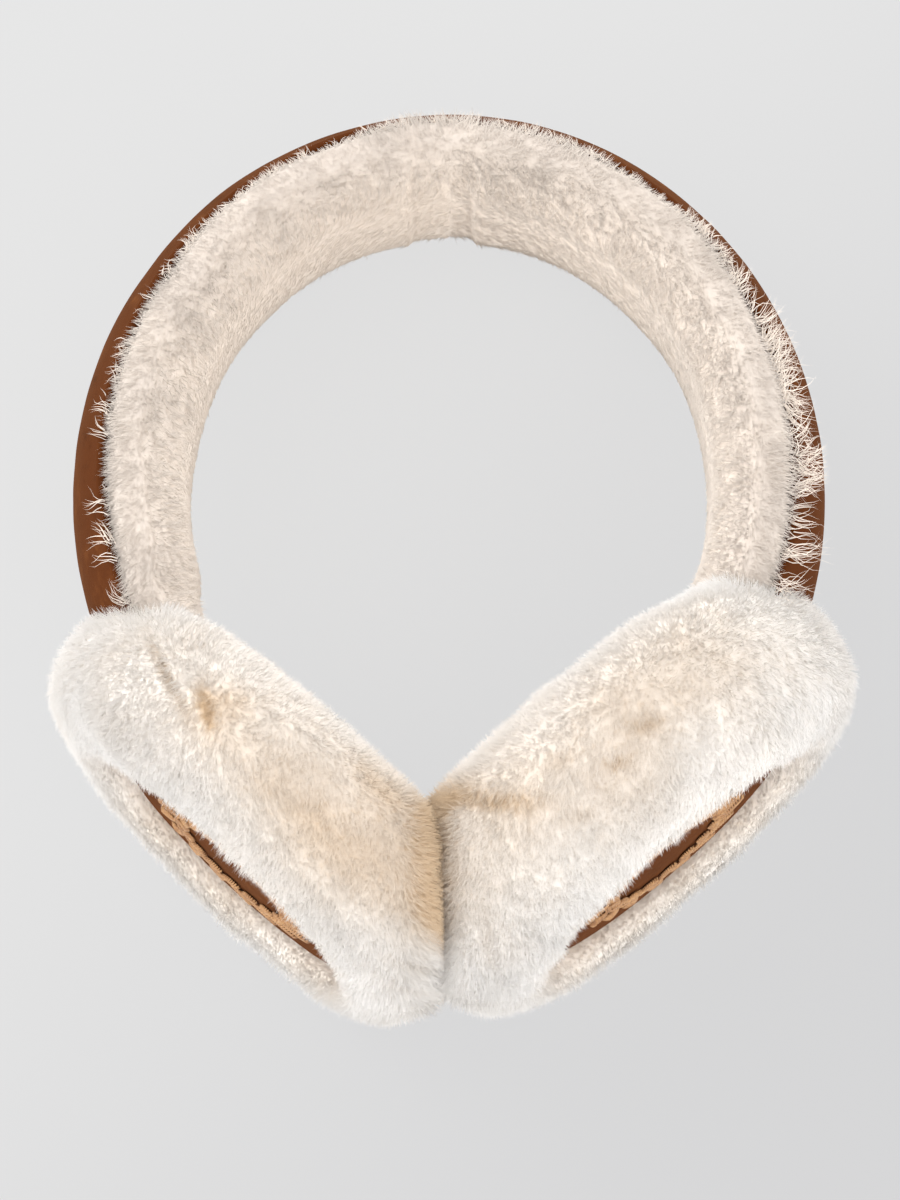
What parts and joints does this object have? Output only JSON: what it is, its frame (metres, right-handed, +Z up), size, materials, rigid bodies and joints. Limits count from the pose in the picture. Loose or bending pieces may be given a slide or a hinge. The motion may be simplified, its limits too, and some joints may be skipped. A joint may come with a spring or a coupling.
{
  "type": "sheepskin earmuffs",
  "caption": "Arched suede strap lined with deep fleece, ending in round fleece ear cups that lean together, with recessed suede panels that carry a stitched wreath.",
  "frame": {"origin": "middle of the bottom of the whole, on the surface that the earmuffs lie on", "axes": "+Z up, out of the front of the earmuffs; +Y from the cups to the top of the arch; +X to the right in the picture"},
  "size_m": [0.1622, 0.1852, 0.1022],
  "materials": {
    "suede": "napped chestnut suede",
    "fleece": "deep soft cream sheepskin fleece",
    "embroidery": "tan satin stitch"
  },
  "bodies": {
    "root": {"headband_suede": "suede", "headband_fur": "fleece", "left_cup_pad": "fleece", "left_cup_cuff": "fleece", "left_cup_panel": "suede", "left_cup_embroidery": "embroidery", "right_cup_pad": "fleece", "right_cup_cuff": "fleece", "right_cup_panel": "suede", "right_cup_embroidery": "embroidery"}
  },
  "joints": []
}
